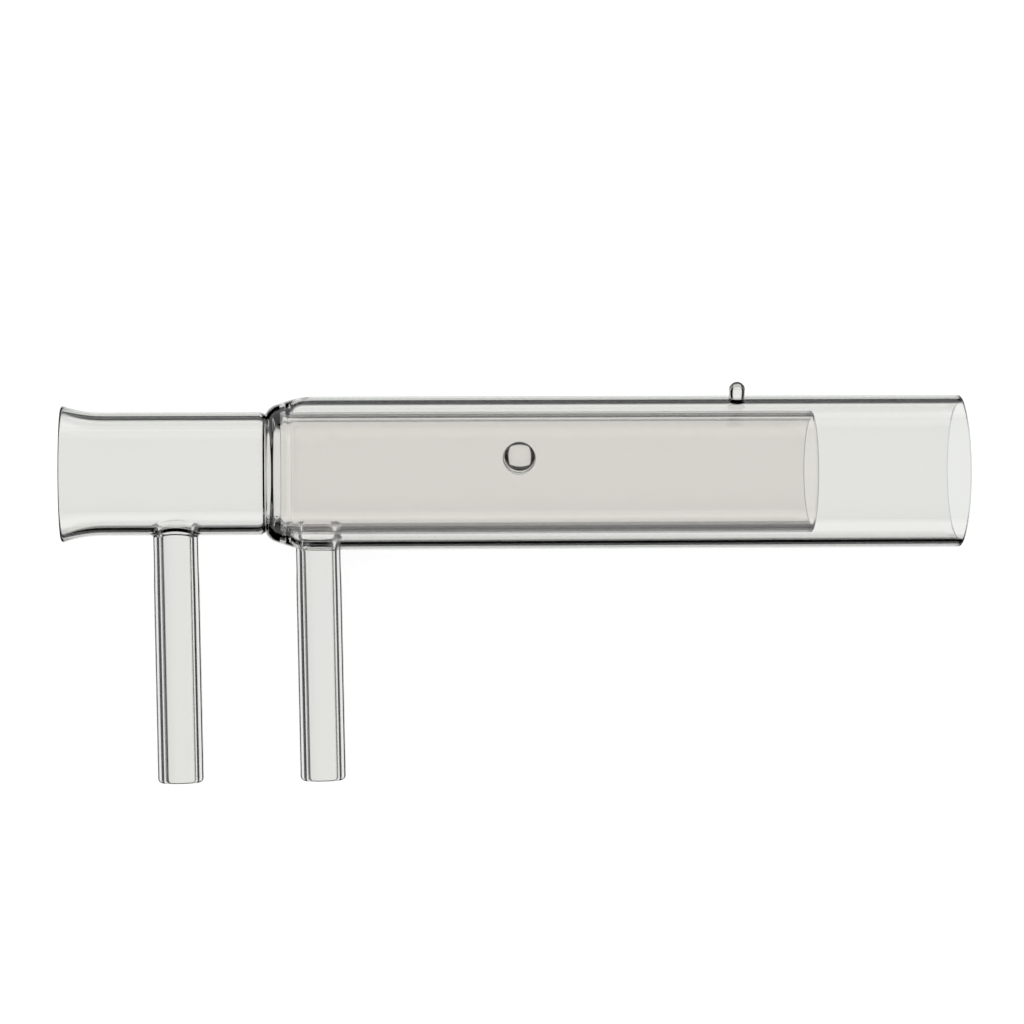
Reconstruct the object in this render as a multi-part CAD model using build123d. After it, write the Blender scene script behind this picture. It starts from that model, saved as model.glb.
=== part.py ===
from build123d import *
from math import asin, atan2, cos, degrees, hypot, radians, sin, sqrt
import os

# A torch body for an inductively coupled plasma, blown and fused from clear quartz tube.
# It is one piece of glass. Sizes are in millimetres, angles in degrees.
# Stations are distances along the axis from the rear rim to the front rim.

# Tubes
total_length = 117.6
inner_tube_diameter = 16.0
inner_tube_wall = 1.0
gas_gap = 1.0
outer_tube_wall = 1.0
front_chamber_depth = 19.6
front_rim_easing = 0.15
inner_rim_easing = 0.25

# Flared rear end
flare_rise = 0.85
flare_length = 5.5
rear_rim_easing = 0.3
rear_rim_wall = 0.82

# Ring seal, where the outer tube is drawn down onto the inner one
seal_station = 26.5
seal_groove_depth = 0.3
seal_groove_length = 0.9
lip_angle = 65.0
lip_radius = 2.34
shoulder_angle = 18.0
seal_bead_height = 0.4
seal_bead_length = 2.2
seal_bead_lead = 0.3

# Closed rear end of the gap between the tubes
gap_start = 2.1
gap_crevice = 0.1
gap_crevice_length = 0.75
gap_end_radius = 4.15
gap_end_drop = 0.8

# Gas arms
arm_diameter = 6.0
arm_bore = 4.0
arm_reach = 40.3
arm_lean = 1.0
arm_tip_rounding = 0.7
arm_neck_diameter = 5.86
arm_neck_end = 12.0
arm_neck_taper = 3.0
arm_mouth_easing = 0.2
arm_fillet = 0.35
bore_entry_rounding = 0.7
auxiliary_arm_station = 14.65
auxiliary_arm_offset = 1.0
seal_to_coolant_arm = 6.7
coolant_arm_offset = 3.5

# Pips of solid quartz on the outer tube
locating_pip_station = 59.05
locating_pip_diameter = 4.15
locating_pip_height = 2.2
locating_pip_turn = 79.9
small_pip_station = 87.8
small_pip_diameter = 2.05
small_pip_height = 2.55
small_pip_turn = 23.0
pip_root = 0.6

# Worked out from the sizes above
inner_radius = inner_tube_diameter / 2
inner_bore_radius = inner_radius - inner_tube_wall
outer_bore_radius = inner_radius + gas_gap
outer_radius = outer_bore_radius + outer_tube_wall
flare_radius = inner_radius + flare_rise
coolant_arm_station = seal_station + seal_to_coolant_arm
arm_radius = arm_diameter / 2
inner_tube_end = total_length - front_chamber_depth
tolerance = 0.001


def find_arm_droop():
    """Angle below level at which the lower arm's tip meets the floor under the outer tube."""
    along = (arm_reach - arm_tip_rounding) * cos(radians(arm_lean))
    across = max(auxiliary_arm_offset, coolant_arm_offset) + arm_radius - arm_tip_rounding
    drop = outer_radius - arm_tip_rounding
    return degrees(asin(drop / hypot(along, across)) - atan2(across, along))


arm_droop = find_arm_droop()


def turned(angle):
    """Unit vector square to the axis, turned from the side opposite to the arms towards the top."""
    return Vector(0, cos(radians(arm_droop + angle)), sin(radians(arm_droop + angle)))


arm_side = turned(180)
offset_side = turned(-90)
arm_direction = Vector(1, 0, 0) * sin(radians(arm_lean)) + arm_side * cos(radians(arm_lean))


def flare_arc(start_radius, end_radius):
    """Arc from the rear rim's eased edge that runs out tangent to a straight tube."""
    run = flare_length - rear_rim_easing
    rise = start_radius - end_radius
    arc_radius = (run**2 + rise**2) / (2 * rise)
    return RadiusArc((rear_rim_easing, start_radius), (flare_length, end_radius), -arc_radius)


def make_envelope():
    """Outside of both tubes, solid to the axis."""
    flare = flare_arc(flare_radius, inner_radius)
    groove_radius = (seal_groove_length**2 + seal_groove_depth**2) / (2 * seal_groove_depth)
    groove_start = (seal_station - seal_groove_length, inner_radius)
    groove_end = (seal_station, inner_radius - seal_groove_depth)
    rear = Line(flare @ 1, groove_start)
    groove = RadiusArc(groove_start, groove_end, groove_radius)
    lip_tangent = (cos(radians(lip_angle)), sin(radians(lip_angle)))
    lip = JernArc(groove_end, lip_tangent, lip_radius, shoulder_angle - lip_angle)
    cone_rise = outer_radius * cos(radians(shoulder_angle)) - (lip @ 1).Y
    cone_end = lip @ 1 + lip % 1 * (cone_rise / sin(radians(shoulder_angle)))
    cone = Line(lip @ 1, cone_end)
    shoulder = JernArc(cone_end, lip % 1, outer_radius, -shoulder_angle)
    front = Polyline(
        shoulder @ 1,
        (total_length - front_rim_easing, outer_radius),
        (total_length, outer_radius - front_rim_easing),
        (total_length, 0),
        (0, 0),
        (0, flare_radius - rear_rim_easing),
        flare @ 0,
    )
    outline = Wire([flare, rear, groove, lip, cone, shoulder] + front.edges())
    return revolve(Face(outline), Axis.X, 360)


def make_hollow():
    """Bore of the inner tube, gap between the tubes and chamber in front, as one solid."""
    flare_bore_radius = flare_radius - rear_rim_wall
    flare = flare_arc(flare_bore_radius, inner_bore_radius)
    bead_start = (seal_station - seal_bead_lead, inner_bore_radius)
    bead_middle = (bead_start[0] + seal_bead_length / 2, inner_bore_radius - seal_bead_height)
    bead_end = (bead_start[0] + seal_bead_length, inner_bore_radius)
    rear = Line(flare @ 1, bead_start)
    bead = ThreePointArc(bead_start, bead_middle, bead_end)
    gap_end = seal_station + gap_start
    crevice_front = (gap_end + gap_crevice_length, outer_bore_radius - gap_end_drop)
    inner_tube = Polyline(
        bead_end,
        (inner_tube_end - inner_rim_easing, inner_bore_radius),
        (inner_tube_end, inner_bore_radius + inner_rim_easing),
        (inner_tube_end, inner_radius - inner_rim_easing),
        (inner_tube_end - inner_rim_easing, inner_radius),
        (gap_end, inner_radius),
        (gap_end, inner_radius + gap_crevice),
        crevice_front,
    )
    gap_arc_run = sqrt(gap_end_radius**2 - (gap_end_radius - gap_end_drop) ** 2)
    gap_arc_end = (crevice_front[0] + gap_arc_run, outer_bore_radius)
    gap_arc = RadiusArc(crevice_front, gap_arc_end, gap_end_radius)
    front = Polyline(
        gap_arc_end,
        (total_length - front_rim_easing, outer_bore_radius),
        (total_length, outer_bore_radius + front_rim_easing),
        (total_length, 0),
        (0, 0),
        (0, flare_bore_radius + rear_rim_easing),
        flare @ 0,
    )
    outline = Wire([flare, rear, bead] + inner_tube.edges() + [gap_arc] + front.edges())
    return revolve(Face(outline), Axis.X, 360)


def arm_plane(station, offset):
    """Plane on the tube's axis whose Z runs down the arm."""
    return Plane(
        origin=Vector(station, 0, 0) + offset_side * offset,
        x_dir=offset_side,
        z_dir=arm_direction,
    )


def arm_outside(station, offset):
    """Outside of an arm, a little slimmer at its joint and rounded at its tip."""
    neck_radius = arm_neck_diameter / 2
    straight_start = arm_neck_end + arm_neck_taper
    outline = Polyline(
        (0, 0),
        (neck_radius, 0),
        (neck_radius, arm_neck_end),
        (arm_radius, straight_start),
        (arm_radius, arm_reach),
        (0, arm_reach),
        close=True,
    )
    rod = revolve(Plane.XZ * Face(Wire(outline.edges())), Axis.Z, 360)
    rod = fillet(rod.edges().group_by(Axis.Z)[-1], arm_tip_rounding)
    return arm_plane(station, offset) * rod


def arm_inside(station, offset):
    """Bore of an arm, from beside the tube's axis to the tip."""
    rod = Cylinder(arm_bore / 2, arm_reach, align=(Align.CENTER, Align.CENTER, Align.MIN))
    return arm_plane(station, offset) * rod


def pip(station, turn, diameter, height):
    """Solid pip with a domed end that stands radially out of the outer tube's wall."""
    radius = diameter / 2
    length = pip_root + height
    side = Line((radius, 0), (radius, length - radius))
    dome = CenterArc((0, length - radius), radius, 0, 90)
    middle = Polyline((0, length), (0, 0), (radius, 0))
    stem = revolve(Face(Wire([side, dome] + middle.edges())), Axis.Y, 360)
    direction = turned(turn)
    origin = Vector(station, 0, 0) + direction * (outer_radius - pip_root)
    along = Vector(1, 0, 0)
    return Plane(origin=origin, x_dir=along, z_dir=along.cross(direction)) * stem


def joint_edges(joined, *pieces):
    """Edges that came up where the pieces meet, apart from their own circles and straight seams."""
    old_edges = sum((piece.edges() for piece in pieces), ShapeList())
    fresh = joined.edges() - old_edges
    return fresh.filter_by(lambda edge: edge.geom_type not in (GeomType.CIRCLE, GeomType.LINE))


auxiliary_arm = (auxiliary_arm_station, auxiliary_arm_offset)
coolant_arm = (coolant_arm_station, coolant_arm_offset)

# The glass from outside, with its arms fused on
tube_envelope = make_envelope()
auxiliary_rod = arm_outside(*auxiliary_arm)
coolant_rod = arm_outside(*coolant_arm)
envelope = tube_envelope + auxiliary_rod + coolant_rod
envelope = fillet(joint_edges(envelope, tube_envelope, auxiliary_rod, coolant_rod), arm_fillet)

# The hollow inside, with the arms' bores opening into it
tube_hollow = make_hollow()
inner_core = Cylinder(
    (inner_radius + outer_bore_radius) / 2,
    total_length,
    rotation=(0, 90, 0),
    align=(Align.CENTER, Align.CENTER, Align.MIN),
)
auxiliary_bore = arm_inside(*auxiliary_arm)
coolant_bore = arm_inside(*coolant_arm) - inner_core
hollow = tube_hollow + auxiliary_bore + coolant_bore
bore_edges = joint_edges(hollow, tube_hollow, auxiliary_bore, coolant_bore)
hollow = fillet(bore_edges, bore_entry_rounding)

glass = envelope - hollow

# The arms' bores are eased where they end
mouths = glass.edges().filter_by(GeomType.CIRCLE)
mouths = mouths.filter_by(lambda edge: abs(edge.radius - arm_bore / 2) < tolerance)
glass = chamfer(mouths, arm_mouth_easing)

# Pips fused on the outer tube
glass += pip(locating_pip_station, locating_pip_turn, locating_pip_diameter, locating_pip_height)
glass += pip(small_pip_station, small_pip_turn, small_pip_diameter, small_pip_height)

# The row's origin is the centre of the front rim
torch_body = Pos(-total_length, 0, 0) * glass
os.makedirs("parts", exist_ok=True)
export_step(torch_body, "parts/torch_body.step")
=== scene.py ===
import math

import bmesh
import bpy
from mathutils import Matrix, Vector


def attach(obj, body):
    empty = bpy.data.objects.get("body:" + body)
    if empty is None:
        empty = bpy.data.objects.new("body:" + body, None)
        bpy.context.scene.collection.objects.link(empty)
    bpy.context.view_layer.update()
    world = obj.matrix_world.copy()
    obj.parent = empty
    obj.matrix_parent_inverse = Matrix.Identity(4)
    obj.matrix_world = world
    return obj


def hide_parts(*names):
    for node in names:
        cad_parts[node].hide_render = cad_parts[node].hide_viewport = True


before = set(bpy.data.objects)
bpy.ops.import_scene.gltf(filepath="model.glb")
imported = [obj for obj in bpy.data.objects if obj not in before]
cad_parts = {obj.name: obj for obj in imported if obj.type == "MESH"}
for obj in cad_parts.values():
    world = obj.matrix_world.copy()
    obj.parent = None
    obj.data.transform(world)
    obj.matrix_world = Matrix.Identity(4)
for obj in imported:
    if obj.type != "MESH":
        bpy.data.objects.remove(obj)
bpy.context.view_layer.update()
print("frame loaded:", sorted(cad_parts))


# the photograph looks straight down on the torch, a little from the side of its arms
cameraValues = {
    "place": (-0.089671, -0.051803, 0.519654),
    "turn": (5.15005, -3.33246, -0.56022),
    "lens": 140.625,
}


def makeCamera(values):
    data = bpy.data.cameras.new("photoCamera")
    data.lens = values["lens"]
    data.sensor_width = 36
    data.clip_start = 0.01
    data.clip_end = 20
    data.dof.use_dof = False
    camera = bpy.data.objects.new("photoCamera", data)
    camera.location = values["place"]
    camera.rotation_euler = [math.radians(angle) for angle in values["turn"]]
    bpy.context.collection.objects.link(camera)
    bpy.context.scene.camera = camera


makeCamera(cameraValues)
print("camera placed")


# the tubes are one closed outline, spun round the axis
# lengths in millimetres from the rear rim, turned into metres at the end
tubeValues = {
    "length": 117.6,
    "segments": 256,
    "outerRadius": 10.0,
    "outerBore": 9.0,
    "innerRadius": 8.0,
    "innerBore": 7.0,
    "innerEnd": 98.0,
    "flareRise": 0.85,
    "flareLength": 5.5,
    "rearWall": 0.82,
    "rearEdge": 0.3,
    "innerEdge": 0.25,
    "frontEdge": 0.15,
    "sealStation": 26.5,
    "grooveDepth": 0.3,
    "grooveLength": 0.9,
    "lipAngle": 65.0,
    "lipRadius": 2.34,
    "shoulderAngle": 18.0,
    # how steeply the bore opens towards the front at the seal, in degrees at each station
    "boreSlopes": [
        (25.97, 0), (26.14, 38), (26.4, 30), (26.6, 20), (27.3, 10),
        (27.56, -18), (27.74, -18), (27.92, -7), (28.7, -7), (29.0, 0),
    ],
    "boreStep": 0.06,
    "gapStart": 2.1,
    "gapCreviceLength": 0.75,
    "gapEndRadius": 4.15,
    "gapEndDrop": 0.8,
    "gapWedge": (0.06, 0.018),
    # of the rear edge, for the rounding of the slanting rim
    "rearRoundingShare": 0.85,
    "ringSpacing": 0.42,
    # first and last station of the rings round each joint, and the wall's least radius there
    "ringRanges": [(10.0, 19.3, 6.0), (28.6, 38.0, 8.4), (56.0, 62.4, 9.5), (85.8, 89.8, 9.5)],
    "braceLeast": 0.5,
}

# lengths that only keep the mesh sound and its shading straight
rootMargin = 0.3
holeMargin = 0.45
braceGap = 0.04
wallSlack = 0.3
boreSlack = 0.12
stemLeast = 0.3
weldDistance = 1e-5
domeWeldDistance = 1e-4


def arcPoints(centre, radius, start, end, steps):
    angles = [math.radians(start + (end - start) * i / steps) for i in range(steps + 1)]
    return [(centre[0] + radius * math.cos(a), centre[1] + radius * math.sin(a)) for a in angles]


def quarterTurn(steps):
    return [math.radians(90 * i / steps) for i in range(steps + 1)]


def flarePoints(values, radius, rise):
    # the tube's wall swells towards the rear rim on one wide arc
    end = values["flareLength"]
    run = end - values["rearEdge"]
    arcRadius = (run * run + rise * rise) / (2 * rise)
    sweep = math.degrees(math.asin(run / arcRadius))
    return arcPoints((end, radius + arcRadius), arcRadius, 270 - sweep, 270, 14)


def outsidePoints(values):
    outer, inner = values["outerRadius"], values["innerRadius"]
    seal = values["sealStation"]
    points = flarePoints(values, inner, values["flareRise"])
    run, depth = values["grooveLength"], values["grooveDepth"]
    grooveRadius = (run * run + depth * depth) / (2 * depth)
    sweep = math.degrees(math.asin(run / grooveRadius))
    points += arcPoints((seal - run, inner - grooveRadius), grooveRadius, 90, 90 - sweep, 4)
    lip, lean, slope = values["lipRadius"], values["lipAngle"], values["shoulderAngle"]
    middle = (
        seal + lip * math.sin(math.radians(lean)),
        inner - depth - lip * math.cos(math.radians(lean)),
    )
    points += arcPoints(middle, lip, 90 + lean, 90 + slope, 14)[1:]
    lipEnd = points[-1]
    coneRise = outer * math.cos(math.radians(slope)) - lipEnd[1]
    coneRun = coneRise / math.tan(math.radians(slope))
    shoulder = lipEnd[0] + coneRun + outer * math.sin(math.radians(slope))
    points += arcPoints((shoulder, 0), outer, 90 + slope, 90, 10)
    return points


def gapArc(values):
    # from the plain bore of the outer tube back towards the closed end of the gap
    bore = values["outerBore"]
    corner = values["sealStation"] + values["gapStart"] + values["gapCreviceLength"]
    radius, drop = values["gapEndRadius"], values["gapEndDrop"]
    sweep = math.degrees(math.acos((radius - drop) / radius))
    run = radius * math.sin(math.radians(sweep))
    return arcPoints((corner + run, bore - radius), radius, 90, 90 + sweep, 12)


def gapPoints(values):
    # the closed end of the gap is a sharp wedge on the inner tube
    inner, end = values["innerRadius"], values["sealStation"] + values["gapStart"]
    length, rise = values["gapWedge"]
    wedge = [(end + length, inner + rise), (end, inner), (end + length, inner)]
    return gapArc(values) + wedge


def sealBore(values):
    # the bore's ripple at the seal, added up from its slopes; the tail brings it back to the bore
    slopes = values["boreSlopes"]
    first, last = slopes[0][0], slopes[-1][0]
    count = round((last - first) / values["boreStep"])
    points = [(first, values["innerBore"])]
    for i in range(count):
        station = first + (last - first) * (i + 0.5) / count
        for (s0, d0), (s1, d1) in zip(slopes, slopes[1:]):
            if s0 <= station <= s1:
                slope = math.radians(d0 + (d1 - d0) * (station - s0) / (s1 - s0))
        radius = points[-1][1] + math.tan(slope) * (last - first) / count
        points.append((first + (last - first) * (i + 1) / count, radius))
    drift = points[-1][1] - values["innerBore"]
    return [(s, r - drift * ((s - first) / (last - first)) ** 2) for s, r in points]


def borePoints(values):
    # from the inner tube's end to the flared rear end
    bore = values["innerBore"]
    rise = values["innerRadius"] + values["flareRise"] - values["rearWall"] - bore
    points = flarePoints(values, bore, rise) + sealBore(values)
    return list(reversed(points))


def roundedCorner(before, corner, after, radius, steps=5):
    # a small arc in place of the corner between two straight stretches
    corner = Vector(corner)
    first = (Vector(before) - corner).normalized()
    second = (Vector(after) - corner).normalized()
    half = first.angle(second) / 2
    middle = corner + (first + second).normalized() * (radius / math.sin(half))
    start = corner + first * (radius / math.tan(half)) - middle
    end = corner + second * (radius / math.tan(half)) - middle
    startAngle = math.degrees(math.atan2(start.y, start.x))
    sweep = math.degrees(math.atan2(end.y, end.x)) - startAngle
    sweep = (sweep + 180) % 360 - 180
    return arcPoints(middle, radius, startAngle, startAngle + sweep, steps)


def tubeEnd(station, upper, lower, upperSlope, lowerSlope, facing, edge):
    # both edges of a cut tube end, from the wall's outside to its bore
    beforeUpper = (station - facing, upper - upperSlope)
    afterLower = (station - facing, lower - lowerSlope)
    outside = roundedCorner(beforeUpper, (station, upper), (station, lower), edge)
    inside = roundedCorner((station, upper), (station, lower), afterLower, edge)
    return outside + inside


def wallFrom(points):
    # radius of a wall at any station, for what is fused onto it
    ordered = sorted(points)

    def radiusAt(station):
        if station <= ordered[0][0]:
            return ordered[0][1]
        for (s0, r0), (s1, r1) in zip(ordered, ordered[1:]):
            if station <= s1:
                return r0 + (r1 - r0) * (station - s0) / max(s1 - s0, 1e-9)
        return ordered[-1][1]

    return radiusAt


def makeOutline(values):
    outside = outsidePoints(values)
    gap = gapPoints(values)
    bore = borePoints(values)
    outer, outerBore = values["outerRadius"], values["outerBore"]
    inner, innerBore = values["innerRadius"], values["innerBore"]
    frontEnd = tubeEnd(values["length"], outer, outerBore, 0, 0, 1, values["frontEdge"])
    innerEnd = tubeEnd(values["innerEnd"], inner, innerBore, 0, 0, 1, values["innerEdge"])
    # the flared walls are carried on straight to the rear rim
    edge = values["rearEdge"]
    slopes = [
        (wall[0][1] - wall[1][1]) / (wall[1][0] - wall[0][0])
        for wall in (outside, list(reversed(bore)))
    ]
    rim = outside[0][1] + slopes[0] * edge
    rimBore = bore[-1][1] + slopes[1] * edge
    rounding = edge * values["rearRoundingShare"]
    rearEnd = tubeEnd(0.0, rim, rimBore, slopes[0], slopes[1], -1, rounding)
    outline = list(reversed(rearEnd)) + outside[1:] + frontEnd + gap + innerEnd + bore[:-1]
    return braced(outline, braceGap, values["braceLeast"])


def braced(points, gap, least):
    # a second point close beside each end of a straight stretch keeps its shading straight
    out = []
    for (s0, r0), (s1, r1) in zip(points, points[1:] + points[:1]):
        out.append((s0, r0))
        length = math.hypot(s1 - s0, r1 - r0)
        if length > least:
            for share in (gap / length, 1 - gap / length):
                out.append((s0 + (s1 - s0) * share, r0 + (r1 - r0) * share))
    return out


def spinOutline(bm, points, segments):
    verts = [bm.verts.new((station, 0, radius)) for station, radius in points]
    edges = [bm.edges.new((a, b)) for a, b in zip(verts, verts[1:] + verts[:1])]
    bmesh.ops.spin(
        bm,
        geom=verts + edges,
        cent=(0, 0, 0),
        axis=(1, 0, 0),
        angle=math.tau,
        steps=segments,
        use_merge=True,
        use_duplicate=False,
    )
    bmesh.ops.remove_doubles(bm, verts=bm.verts, dist=weldDistance)


def cutRings(bm, start, end, spacing, least):
    # more rings in the wall round a joint, so that a hole in it is cut clean
    count = math.ceil((end - start) / spacing)
    for i in range(count + 1):
        station = start + (end - start) * i / count
        faces = [
            f
            for f in bm.faces
            if math.hypot(f.calc_center_median().y, f.calc_center_median().z) > least
            and min(v.co.x for v in f.verts) < station < max(v.co.x for v in f.verts)
        ]
        verts = list({v for f in faces for v in f.verts})
        edges = list({e for f in faces for e in f.edges})
        bmesh.ops.bisect_plane(
            bm,
            geom=verts + edges + faces,
            dist=weldDistance,
            plane_co=(station, 0, 0),
            plane_no=(1, 0, 0),
        )


# arms and pips are fused onto the tubes
# each arm has its station and how far off the axis it stands
armValues = {
    "auxiliary": (14.65, 1.0),
    "coolant": (33.2, 3.5),
    "droop": 5.1048,
    "lean": 1.0,
    "reach": 40.3,
    "radius": 3.0,
    "bore": 2.0,
    "neckRadius": 2.93,
    "neckEnd": 12.0,
    "neckTaper": 3.0,
    "boreStart": 12.0,
    "tipRounding": 0.7,
    "mouthRounding": 0.2,
    "fillet": 0.35,
    "boreFillet": 0.7,
    "segments": 128,
}

# each pip has its station, turn, radius and height
# turns are in degrees about the axis, from the side away from the arms towards the top
pipValues = {
    "locating": (59.05, 79.9, 2.075, 2.2),
    "small": (87.8, 23.0, 1.025, 2.55),
    "segments": 64,
    "fillet": 0.18,
}


class Branch:
    # a straight line out of the tubes' wall, with the two directions square to it
    def __init__(self, station, out, offset=(0, 0, 0)):
        self.out = Vector(out).normalized()
        along = Vector((1, 0, 0))
        self.side = self.out.cross(along).normalized()
        self.along = self.side.cross(self.out).normalized()
        self.origin = Vector((station, 0, 0)) + Vector(offset)

    def frameMatrix(self):
        turn = Matrix((self.along, self.side, self.out)).transposed().to_4x4()
        return Matrix.Translation(self.origin) @ turn

    def away(self, co):
        reach = co - self.origin
        return (reach - self.out * reach.dot(self.out)).length

    def angle(self, co):
        reach = co - self.origin
        return math.atan2(reach.dot(self.side), reach.dot(self.along))

    def point(self, angle, radius, distance):
        around = self.along * math.cos(angle) + self.side * math.sin(angle)
        return self.origin + around * radius + self.out * distance

    def wallDistance(self, angle, radius, radiusAt):
        # how far out along the branch the line meets the wall
        start = self.point(angle, radius, 0)
        distance = 0.0
        for _ in range(6):
            wall = radiusAt(start.x + self.out.x * distance)
            a = self.out.y ** 2 + self.out.z ** 2
            b = 2 * (start.y * self.out.y + start.z * self.out.z)
            c = start.y ** 2 + start.z ** 2 - wall * wall
            distance = (-b + math.sqrt(max(b * b - 4 * a * c, 0))) / (2 * a)
        return distance


def openWall(bm, branch, radiusAt, clear, slack):
    # takes the wall's faces away round the branch and gives the edges of the hole
    doomed = []
    for face in bm.faces:
        middle = face.calc_center_median()
        if (middle - branch.origin).dot(branch.out) < 0:
            continue
        if abs(math.hypot(middle.y, middle.z) - radiusAt(middle.x)) > slack:
            continue
        if min(branch.away(v.co) for v in face.verts) < clear:
            doomed.append(face)
    known = {e for e in bm.edges if e.is_boundary}
    bmesh.ops.delete(bm, geom=doomed, context="FACES")
    return [e for e in bm.edges if e.is_boundary and e not in known]


def footRing(bm, branch, radiusAt, radius, segments):
    made = bmesh.ops.create_circle(
        bm, cap_ends=False, segments=segments, radius=radius, matrix=branch.frameMatrix()
    )
    for vert in made["verts"]:
        angle = branch.angle(vert.co)
        vert.co = branch.point(angle, radius, branch.wallDistance(angle, radius, radiusAt))
    return list({e for v in made["verts"] for e in v.link_edges})


def growRing(bm, branch, edges, radius, distance):
    # the open ring grows one step; distance may be a number or a function of the angle
    grown = bmesh.ops.extrude_edge_only(bm, edges=edges)["geom"]
    for vert in [g for g in grown if isinstance(g, bmesh.types.BMVert)]:
        angle = branch.angle(vert.co)
        where = distance(angle) if callable(distance) else distance
        vert.co = branch.point(angle, radius, where)
    return [g for g in grown if isinstance(g, bmesh.types.BMEdge) and g.is_boundary]


def startBranch(bm, branch, hole, radiusAt, foot, fillet, segments):
    # leads the hole's edge round a small fillet into a ring that stands off the wall
    ring = footRing(bm, branch, radiusAt, foot + fillet + rootMargin, segments)
    bmesh.ops.bridge_loops(bm, edges=hole + ring)
    for radius, height in [(foot + fillet + braceGap, 0)] + filletSteps(foot, fillet):
        ring = growRing(bm, branch, ring, radius, offWall(branch, radiusAt, radius, height))
    return ring


def filletSteps(foot, fillet, steps=10):
    # radius and height of the rings round a fillet, from the wall up along the branch
    rings = [
        (foot + fillet - fillet * math.sin(turn), fillet - fillet * math.cos(turn))
        for turn in quarterTurn(steps)
    ]
    return rings + [(foot, fillet + braceGap)]


def offWall(branch, radiusAt, radius, height):
    # gives the distance of a ring that keeps a height over the wall at every angle
    return lambda angle: branch.wallDistance(angle, radius, radiusAt) + height


def graftArm(bm, values, station, offset, outerWall, innerWall):
    droop = math.radians(180 + values["droop"])
    side = math.radians(values["droop"] - 90)
    lean = math.radians(values["lean"])
    out = (
        math.sin(lean),
        math.cos(droop) * math.cos(lean),
        math.sin(droop) * math.cos(lean),
    )
    branch = Branch(station, out, (0, math.cos(side) * offset, math.sin(side) * offset))
    segments, reach = values["segments"], values["reach"]
    outer, bore = values["radius"], values["bore"]
    neck, fillet, boreFillet = values["neckRadius"], values["fillet"], values["boreFillet"]
    outerHole = openWall(bm, branch, outerWall, neck + fillet + holeMargin, wallSlack)
    boreHole = openWall(bm, branch, innerWall, bore + boreFillet + holeMargin, boreSlack)
    ring = startBranch(bm, branch, outerHole, outerWall, neck, fillet, segments)
    neckEnd, taper = values["neckEnd"], values["neckTaper"]
    rings = [(neck, neckEnd - braceGap), (neck, neckEnd)]
    for i in range(1, 7):
        share = i / 6
        swell = share * share * (3 - 2 * share)
        rings.append((neck + (outer - neck) * swell, neckEnd + taper * share))
    tip, mouth = values["tipRounding"], values["mouthRounding"]
    tipFoot, mouthFoot = reach - tip, reach - mouth
    rings += [(outer, neckEnd + taper + braceGap), (outer, tipFoot - braceGap), (outer, tipFoot)]
    for turn in quarterTurn(8)[1:]:
        rings.append((outer - tip + tip * math.cos(turn), tipFoot + tip * math.sin(turn)))
    for turn in quarterTurn(4):
        rings.append((bore + mouth - mouth * math.sin(turn), mouthFoot + mouth * math.cos(turn)))
    rings += [(bore, mouthFoot - braceGap), (bore, values["boreStart"])]
    for radius, distance in rings:
        ring = growRing(bm, branch, ring, radius, distance)
    # the bore's own foot, from the arm down to the wall inside
    feet = [(bore + boreFillet + rootMargin, 0), (bore + boreFillet + braceGap, 0)]
    feet += filletSteps(bore, boreFillet)
    for radius, height in reversed(feet):
        ring = growRing(bm, branch, ring, radius, offWall(branch, innerWall, radius, height))
    bmesh.ops.bridge_loops(bm, edges=boreHole + ring)


def graftPip(bm, values, station, turn, radius, height, wall):
    angle = math.radians(armValues["droop"] + turn)
    branch = Branch(station, (0, math.cos(angle), math.sin(angle)))
    fillet = values["fillet"]
    hole = openWall(bm, branch, wall, radius + fillet + holeMargin, wallSlack)
    ring = startBranch(bm, branch, hole, wall, radius, fillet, values["segments"])
    top = wall(station) + height
    domeFoot = top - radius
    rings = []
    if domeFoot > wall(station) + fillet + stemLeast:
        rings = [(radius, domeFoot - braceGap), (radius, domeFoot)]
    for climb in quarterTurn(15)[1:-1]:
        rings.append((radius * math.cos(climb), domeFoot + radius * math.sin(climb)))
    for ringRadius, distance in rings:
        ring = growRing(bm, branch, ring, ringRadius, distance)
    ring = growRing(bm, branch, ring, 0, top)
    middle = list({v for e in ring for v in e.verts})
    bmesh.ops.remove_doubles(bm, verts=middle, dist=domeWeldDistance)


def makeTorch(values):
    bm = bmesh.new()
    spinOutline(bm, makeOutline(values), values["segments"])
    outside = wallFrom(outsidePoints(values) + [(values["length"], values["outerRadius"])])
    bore = wallFrom(borePoints(values) + [(values["innerEnd"], values["innerBore"])])
    gapWall = wallFrom(gapArc(values) + [(values["length"], values["outerBore"])])
    for start, end, least in values["ringRanges"]:
        cutRings(bm, start, end, values["ringSpacing"], least)
    print("tubes spun:", len(bm.faces), "faces")
    graftArm(bm, armValues, *armValues["auxiliary"], outside, bore)
    graftArm(bm, armValues, *armValues["coolant"], outside, gapWall)
    print("arms fused on:", len(bm.faces), "faces")
    graftPip(bm, pipValues, *pipValues["locating"], outside)
    graftPip(bm, pipValues, *pipValues["small"], outside)
    openEdges = [e for e in bm.edges if not e.is_manifold]
    print("pips fused on:", len(bm.faces), "faces,", len(openEdges), "open edges")
    bmesh.ops.recalc_face_normals(bm, faces=bm.faces)
    place = Matrix.Scale(0.001, 4) @ Matrix.Translation((-values["length"], 0, 0))
    bmesh.ops.transform(bm, matrix=place, verts=bm.verts)
    for face in bm.faces:
        face.smooth = True
    mesh = bpy.data.meshes.new("fusedTorch")
    bm.to_mesh(mesh)
    bm.free()
    torch = bpy.data.objects.new("fusedTorch", mesh)
    bpy.context.collection.objects.link(torch)
    return torch


torch = makeTorch(tubeValues)
print("torch made:", len(torch.data.polygons), "faces")


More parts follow.
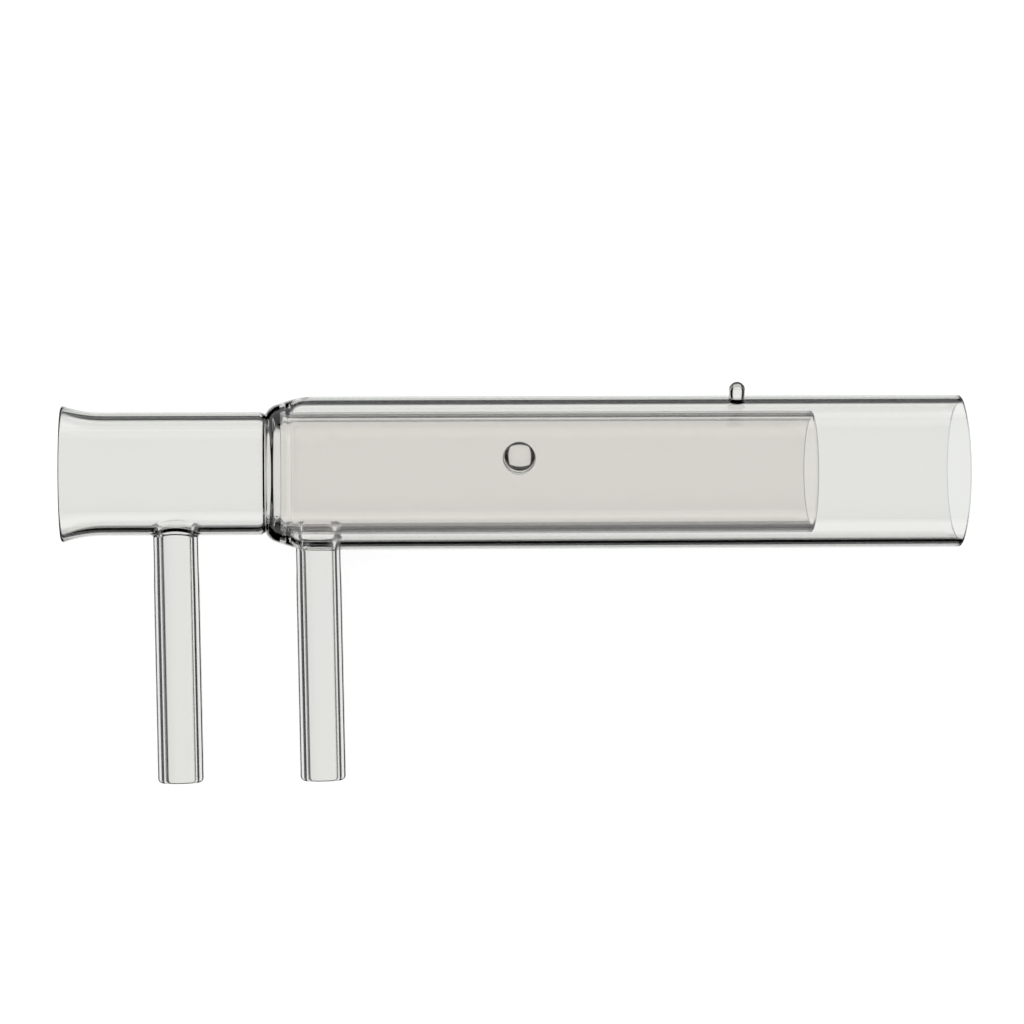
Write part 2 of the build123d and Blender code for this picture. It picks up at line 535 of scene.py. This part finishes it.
quartzValues = {
    "tint": (1.0, 0.985, 0.975, 1.0),
    "index": 1.458,
    "shadow": 0.94,
    "drawLines": 6e-7,
    "lineScale": 700.0,
    "lineStretch": (0.03, 1.0, 1.0),
    "roughness": (0.0, 0.02),
    "hazeScale": 90.0,
}


def makeQuartz(values):
    material = bpy.data.materials.new("clearQuartz")
    material.use_nodes = True
    nodes, links = material.node_tree.nodes, material.node_tree.links
    nodes.clear()
    output = nodes.new("ShaderNodeOutputMaterial")
    glass = nodes.new("ShaderNodeBsdfPrincipled")
    glass.inputs["Base Color"].default_value = values["tint"]
    glass.inputs["IOR"].default_value = values["index"]
    glass.inputs["Transmission Weight"].default_value = 1.0
    # fine lines along the drawn tube, and a slight haze that comes and goes
    place = nodes.new("ShaderNodeTexCoord")
    stretch = nodes.new("ShaderNodeMapping")
    stretch.inputs["Scale"].default_value = values["lineStretch"]
    links.new(place.outputs["Object"], stretch.inputs["Vector"])
    lines = nodes.new("ShaderNodeTexNoise")
    lines.inputs["Scale"].default_value = values["lineScale"]
    links.new(stretch.outputs["Vector"], lines.inputs["Vector"])
    bump = nodes.new("ShaderNodeBump")
    bump.inputs["Strength"].default_value = 1.0
    bump.inputs["Distance"].default_value = values["drawLines"]
    links.new(lines.outputs["Fac"], bump.inputs["Height"])
    links.new(bump.outputs["Normal"], glass.inputs["Normal"])
    haze = nodes.new("ShaderNodeTexNoise")
    haze.inputs["Scale"].default_value = values["hazeScale"]
    links.new(place.outputs["Object"], haze.inputs["Vector"])
    level = nodes.new("ShaderNodeMapRange")
    level.inputs["To Min"].default_value = values["roughness"][0]
    level.inputs["To Max"].default_value = values["roughness"][1]
    links.new(haze.outputs["Fac"], level.inputs["Value"])
    links.new(level.outputs["Result"], glass.inputs["Roughness"])
    clear = nodes.new("ShaderNodeBsdfTransparent")
    clear.inputs["Color"].default_value = (values["shadow"],) * 3 + (1,)
    path = nodes.new("ShaderNodeLightPath")
    mix = nodes.new("ShaderNodeMixShader")
    links.new(path.outputs["Is Shadow Ray"], mix.inputs["Fac"])
    links.new(glass.outputs["BSDF"], mix.inputs[1])
    links.new(clear.outputs["BSDF"], mix.inputs[2])
    links.new(mix.outputs["Shader"], output.inputs["Surface"])
    return material


torch.data.materials.append(makeQuartz(quartzValues))
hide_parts("torch_body")
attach(torch, "root")
print("quartz laid on")


stageValues = {
    "floorSize": 6.0,
    "floorHeight": -0.01,
    "paper": (0.9, 0.9, 0.9, 1.0),
    "paperGlow": 0.8,
}


def makeFloor(values):
    bm = bmesh.new()
    bmesh.ops.create_grid(bm, x_segments=1, y_segments=1, size=values["floorSize"] / 2)
    bmesh.ops.translate(bm, vec=(0, 0, values["floorHeight"]), verts=bm.verts)
    mesh = bpy.data.meshes.new("paperFloor")
    bm.to_mesh(mesh)
    bm.free()
    floor = bpy.data.objects.new("paperFloor", mesh)
    bpy.context.collection.objects.link(floor)
    material = bpy.data.materials.new("whitePaper")
    material.use_nodes = True
    nodes, links = material.node_tree.nodes, material.node_tree.links
    nodes.clear()
    output = nodes.new("ShaderNodeOutputMaterial")
    paper = nodes.new("ShaderNodeBsdfDiffuse")
    paper.inputs["Color"].default_value = values["paper"]
    glow = nodes.new("ShaderNodeEmission")
    glow.inputs["Strength"].default_value = 1.0
    path = nodes.new("ShaderNodeLightPath")
    share = nodes.new("ShaderNodeMath")
    share.operation = "MULTIPLY"
    share.inputs[1].default_value = values["paperGlow"]
    mix = nodes.new("ShaderNodeMixShader")
    links.new(path.outputs["Is Camera Ray"], share.inputs[0])
    links.new(share.outputs[0], mix.inputs["Fac"])
    links.new(paper.outputs["BSDF"], mix.inputs[1])
    links.new(glow.outputs["Emission"], mix.inputs[2])
    links.new(mix.outputs["Shader"], output.inputs["Surface"])
    floor.data.materials.append(material)
    floor.visible_transmission = False
    floor.visible_glossy = False


makeFloor(stageValues)

# what the glass shows of its surroundings: a light panel below it with a dark ring round it,
# and from there up to the horizon the pale backdrop
# all edges are slopes away from straight down
panelValues = {
    "level": 0.875,
    "edgeLevel": 0.75,
    "tint": (1.0, 1.03, 1.01, 1.0),
    "left": -0.36,
    "right": 0.52,
    "near": -0.3,
    "far": 0.62,
    "soft": 0.05,
    "dark": 0.002,
    "above": 0.01,
    "downLeast": 0.02,
    "backdrop": 0.8,
    "backdropFrom": 1.2,
    "backdropFull": 1.42,
}


def makeWorld(values):
    world = bpy.data.worlds.new("studio")
    bpy.context.scene.world = world
    world.use_nodes = True
    nodes, links = world.node_tree.nodes, world.node_tree.links
    nodes.clear()

    def combine(operation, first, second=None):
        node = nodes.new("ShaderNodeMath")
        node.operation = operation
        for socket, value in zip(node.inputs, (first, second)):
            if isinstance(value, (int, float)):
                socket.default_value = value
            elif value is not None:
                links.new(value, socket)
        return node.outputs[0]

    def rising(slope, start, end, full=1.0):
        # climbs smoothly from 0 at one slope to its full value at another
        rise = nodes.new("ShaderNodeMapRange")
        rise.interpolation_type = "SMOOTHSTEP"
        rise.inputs["From Min"].default_value = start
        rise.inputs["From Max"].default_value = end
        rise.inputs["To Max"].default_value = full
        links.new(slope, rise.inputs["Value"])
        return rise.outputs["Result"]

    def between(slope, low, high):
        # 1 between the two edges, 0 outside them
        soft = values["soft"]
        lowSide = rising(slope, low - soft, low + soft)
        return combine("MULTIPLY", lowSide, rising(slope, high + soft, high - soft))

    output = nodes.new("ShaderNodeOutputWorld")
    place = nodes.new("ShaderNodeTexCoord")
    split = nodes.new("ShaderNodeSeparateXYZ")
    links.new(place.outputs["Generated"], split.inputs[0])
    x, y, z = split.outputs
    down = combine("MAXIMUM", combine("MULTIPLY", z, -1.0), values["downLeast"])
    across, along = combine("DIVIDE", y, down), combine("DIVIDE", x, down)
    # the panel is a little darker towards its edges
    seen, falls, squares = [], [], []
    for slope, low, high in (
        (across, values["near"], values["far"]),
        (along, values["left"], values["right"]),
    ):
        seen.append(between(slope, low, high))
        offset = combine("SUBTRACT", slope, (low + high) / 2)
        share = combine("ABSOLUTE", combine("DIVIDE", offset, (high - low) / 2))
        falls.append(combine("POWER", share, 2.0))
        squares.append(combine("MULTIPLY", slope, slope))
    fall = combine("MINIMUM", combine("MAXIMUM", *falls), 1.0)
    drop = combine("MULTIPLY", fall, values["level"] - values["edgeLevel"])
    level = combine("SUBTRACT", values["level"], drop)
    lightPanel = combine("MULTIPLY", combine("MULTIPLY", *seen), level)
    above = combine("MULTIPLY", combine("GREATER_THAN", z, 0.0), values["above"])
    # the pale backdrop begins well outside the dark ring round the panel
    slant = combine("POWER", combine("ADD", *squares), 0.5)
    rise = rising(slant, values["backdropFrom"], values["backdropFull"], values["backdrop"])
    backdrop = combine("MULTIPLY", rise, combine("LESS_THAN", z, 0.0))
    below = combine("ADD", lightPanel, backdrop)
    strength = combine("ADD", combine("ADD", below, above), values["dark"])
    panel = nodes.new("ShaderNodeBackground")
    panel.inputs["Color"].default_value = values["tint"]
    links.new(strength, panel.inputs["Strength"])
    room = nodes.new("ShaderNodeBackground")
    room.inputs["Color"].default_value = (1, 1, 1, 1)
    path = nodes.new("ShaderNodeLightPath")
    glassRay = combine(
        "MAXIMUM", path.outputs["Is Transmission Ray"], path.outputs["Is Glossy Ray"]
    )
    mix = nodes.new("ShaderNodeMixShader")
    links.new(glassRay, mix.inputs["Fac"])
    links.new(room.outputs["Background"], mix.inputs[1])
    links.new(panel.outputs["Background"], mix.inputs[2])
    links.new(mix.outputs["Shader"], output.inputs["Surface"])


makeWorld(panelValues)


lampValues = {
    "place": (-0.35, 0.45, 0.9),
    "size": 0.7,
    "power": 12.0,
}


def makeLamp(values):
    data = bpy.data.lights.new("softLamp", "AREA")
    data.shape = "SQUARE"
    data.size = values["size"]
    data.energy = values["power"]
    lamp = bpy.data.objects.new("softLamp", data)
    lamp.location = values["place"]
    lamp.rotation_euler = Vector(values["place"]).to_track_quat("Z", "Y").to_euler()
    lamp.visible_glossy = False
    lamp.visible_transmission = False
    bpy.context.collection.objects.link(lamp)


makeLamp(lampValues)
bpy.context.scene.view_settings.view_transform = "Standard"
print("floor and light set")
